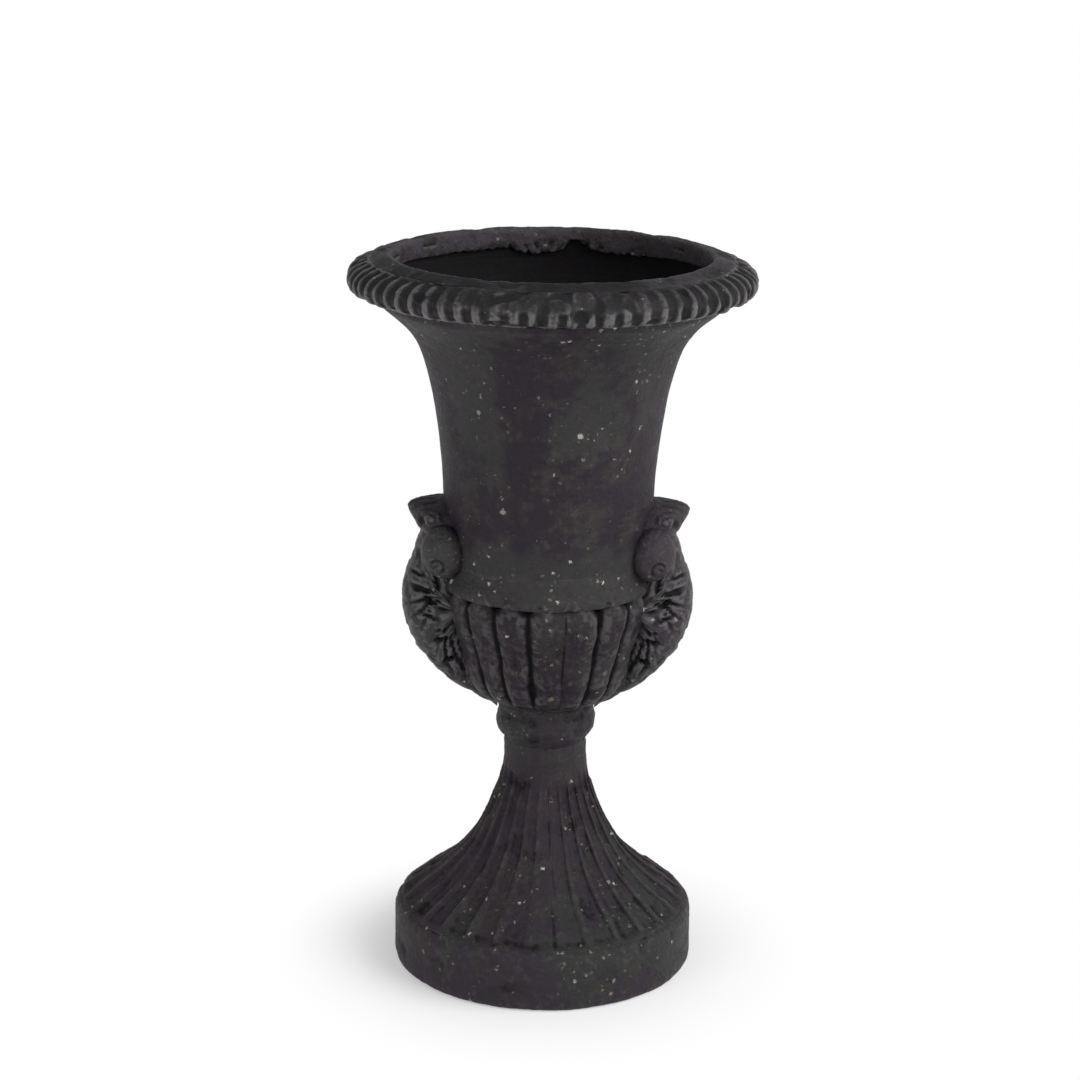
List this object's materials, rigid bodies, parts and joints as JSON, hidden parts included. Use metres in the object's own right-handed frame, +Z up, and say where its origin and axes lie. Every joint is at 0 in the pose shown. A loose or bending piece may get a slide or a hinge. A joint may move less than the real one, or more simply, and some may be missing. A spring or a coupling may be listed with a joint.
{
  "type": "urn planter",
  "caption": "Footed garden urn planter in blackened clay: fluted trumpet foot on a ring plinth, lobed bowl, flaring bell with ribbed roll rim, and acanthus scroll handles",
  "frame": {"origin": "centre of the plinth's underside, on the floor at the urn's vertical axis", "axes": "+Z up along the urn's axis; the handles point along +X and -X; -Y is the side the picture shows"},
  "size_m": [0.302, 0.3016, 0.55],
  "materials": {
    "foot_clay": "weathered matte black clay with pale flecks",
    "bowl_clay": "weathered matte black clay with pale flecks",
    "rim_clay": "weathered matte black clay with pale flecks",
    "handle_clay": "weathered matte black clay with pale flecks"
  },
  "bodies": {
    "root": {"plinth_ring": "foot_clay", "fluted_pedestal": "foot_clay", "neck_collar": "foot_clay", "gadrooned_bowl": "bowl_clay", "shoulder_moulding": "bowl_clay", "bell": "bowl_clay", "rim_roll": "rim_clay", "mouth_lip": "rim_clay", "left_scroll": "handle_clay", "right_scroll": "handle_clay", "left_leaf": "handle_clay", "right_leaf": "handle_clay"}
  },
  "joints": []
}
